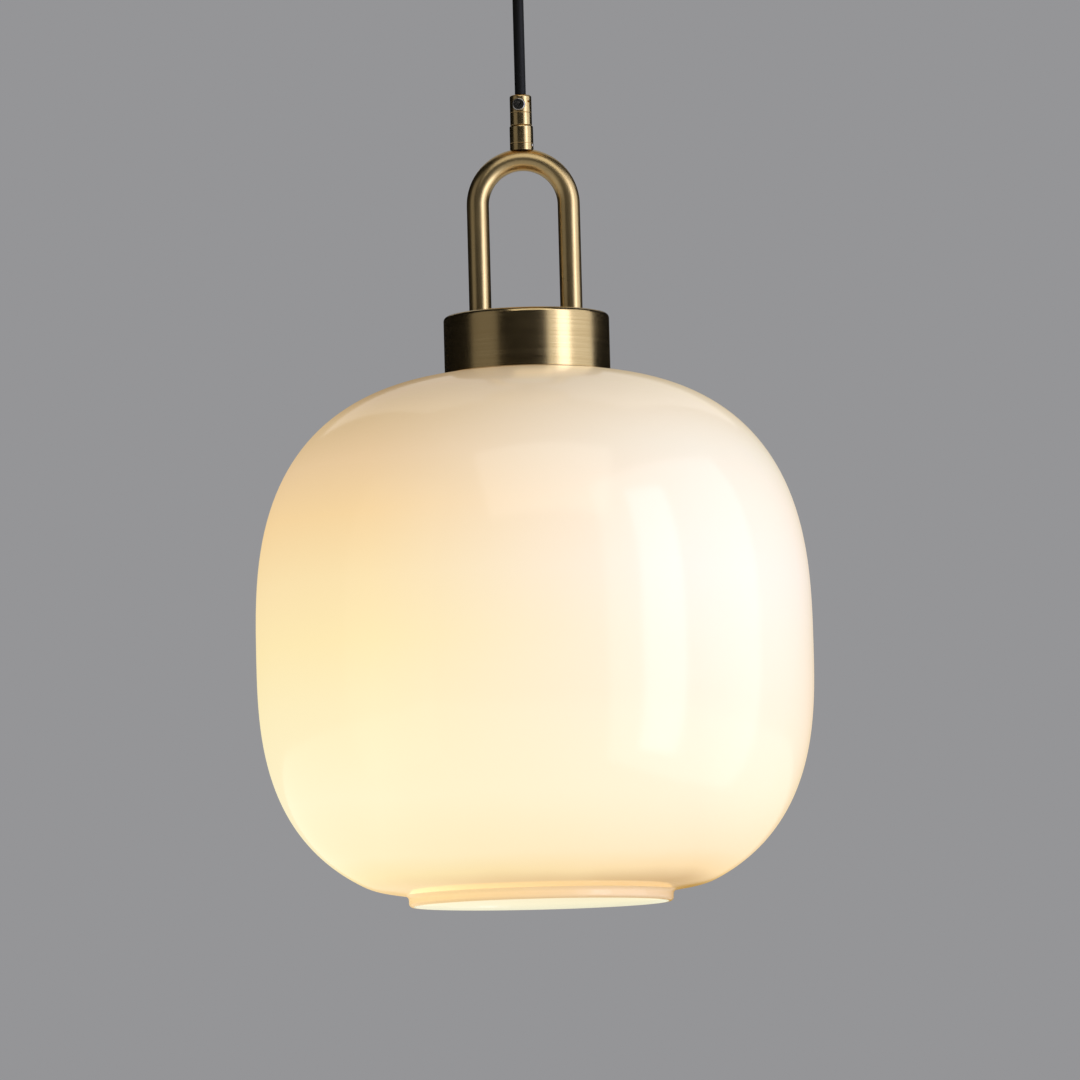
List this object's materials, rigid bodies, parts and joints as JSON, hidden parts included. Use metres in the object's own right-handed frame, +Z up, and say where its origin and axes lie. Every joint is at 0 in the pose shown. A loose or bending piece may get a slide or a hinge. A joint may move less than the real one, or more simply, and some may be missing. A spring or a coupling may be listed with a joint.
{
  "type": "pendant ceiling light",
  "caption": "Hanging lamp with a rounded opal glass shade open at the bottom, a brass cap and a brass loop, on a short textile cord from a round ceiling canopy.",
  "frame": {"origin": "on the ceiling plane, above the lamp's axis, at the middle of the ceiling bracket's upper face", "axes": "+Z up, out of the ceiling face; the lamp hangs towards -Z; +X along the loop's two legs and the bracket; -Y is the front"},
  "size_m": [0.25, 0.25, 0.46],
  "materials": {
    "satin_brass": "satin, brushed round its axis",
    "raw_brass": "turned",
    "zinc_steel": "zinc plated",
    "steel_screw": "bright",
    "nickel": "nickel plated",
    "white_plastic": "moulded",
    "black_plastic": "moulded",
    "ceramic": "unglazed",
    "silicone": "matte",
    "opal_glass": "glossy opal",
    "bulb_diffuser": "opal, lit",
    "board": "solder mask",
    "led_yellow": "phosphor",
    "black_cord": "braided textile",
    "brown_wire": "smooth",
    "blue_wire": "smooth",
    "earth_wire": "smooth"
  },
  "bodies": {
    "ceiling_fitting": {"ceiling_bracket": "zinc_steel", "canopy": "satin_brass", "canopy_screws": "satin_brass", "terminal_block": "white_plastic", "terminal_sleeves": "raw_brass", "terminal_screws": "zinc_steel", "cord_outlet": "satin_brass", "outlet_nut": "zinc_steel", "cord_tail": "black_cord", "tail_live_wire": "brown_wire", "tail_neutral_wire": "blue_wire", "tail_earth_wire": "earth_wire"},
    "cord_bend": {"cord_top": "black_cord"},
    "cord_and_grip": {"cord": "black_cord", "grip_head": "satin_brass", "clamp_screw": "steel_screw", "grip_sleeve": "satin_brass"},
    "lamp": {"grip_coupling": "satin_brass", "swivel_screw": "steel_screw", "saddle": "satin_brass", "saddle_screw": "steel_screw", "handle": "satin_brass", "handle_spigots": "raw_brass", "cap": "satin_brass", "holder_carrier": "zinc_steel", "leg_washers": "zinc_steel", "leg_nuts": "zinc_steel", "nipple": "raw_brass", "nipple_nut": "zinc_steel", "earth_screw": "raw_brass", "holder_dome": "black_plastic", "holder_body": "black_plastic", "socket_insert": "ceramic", "socket_shell": "raw_brass", "socket_contact": "raw_brass", "socket_terminals": "raw_brass", "upper_gasket": "silicone", "lower_gasket": "silicone", "shade_ring": "black_plastic", "glass_shade": "opal_glass", "live_wire": "brown_wire", "neutral_wire": "blue_wire", "earth_wire": "earth_wire"},
    "bulb_foot": {"bulb_contact": "nickel", "bulb_insulator": "black_plastic"},
    "bulb": {"bulb_shell": "nickel", "bulb_housing": "white_plastic", "bulb_globe": "bulb_diffuser", "led_board": "board", "led_chips": "led_yellow", "driver_board": "board"}
  },
  "joints": [
    {"name": "swing_sideways", "type": "hinge", "parent": "ceiling_fitting", "child": "cord_bend", "pos_m": [0, 0, -0.041], "axis": [0, 1, 0], "range_deg": [-12, 12]},
    {"name": "swing_forward", "type": "hinge", "parent": "cord_bend", "child": "cord_and_grip", "pos_m": [0, 0, -0.041], "axis": [1, 0, 0], "range_deg": [-12, 12]},
    {"name": "lamp_turn", "type": "hinge", "parent": "cord_and_grip", "child": "lamp", "pos_m": [0, 0, -0.1086], "axis": [0, 0, 1], "range_deg": [-180, 180]},
    {"name": "bulb_travel", "type": "slide", "parent": "lamp", "child": "bulb_foot", "axis": [0, 0, -1], "range_m": [0, 0.01452]},
    {"name": "bulb_turn", "type": "hinge", "parent": "bulb_foot", "child": "bulb", "pos_m": [0, 0, -0.245], "axis": [0, 0, -1], "range_deg": [0, 1440]}
  ],
  "couplings": [
    {"joint": "bulb_travel", "follows": "bulb_turn", "m_per_rad": 0.00057757}
  ]
}
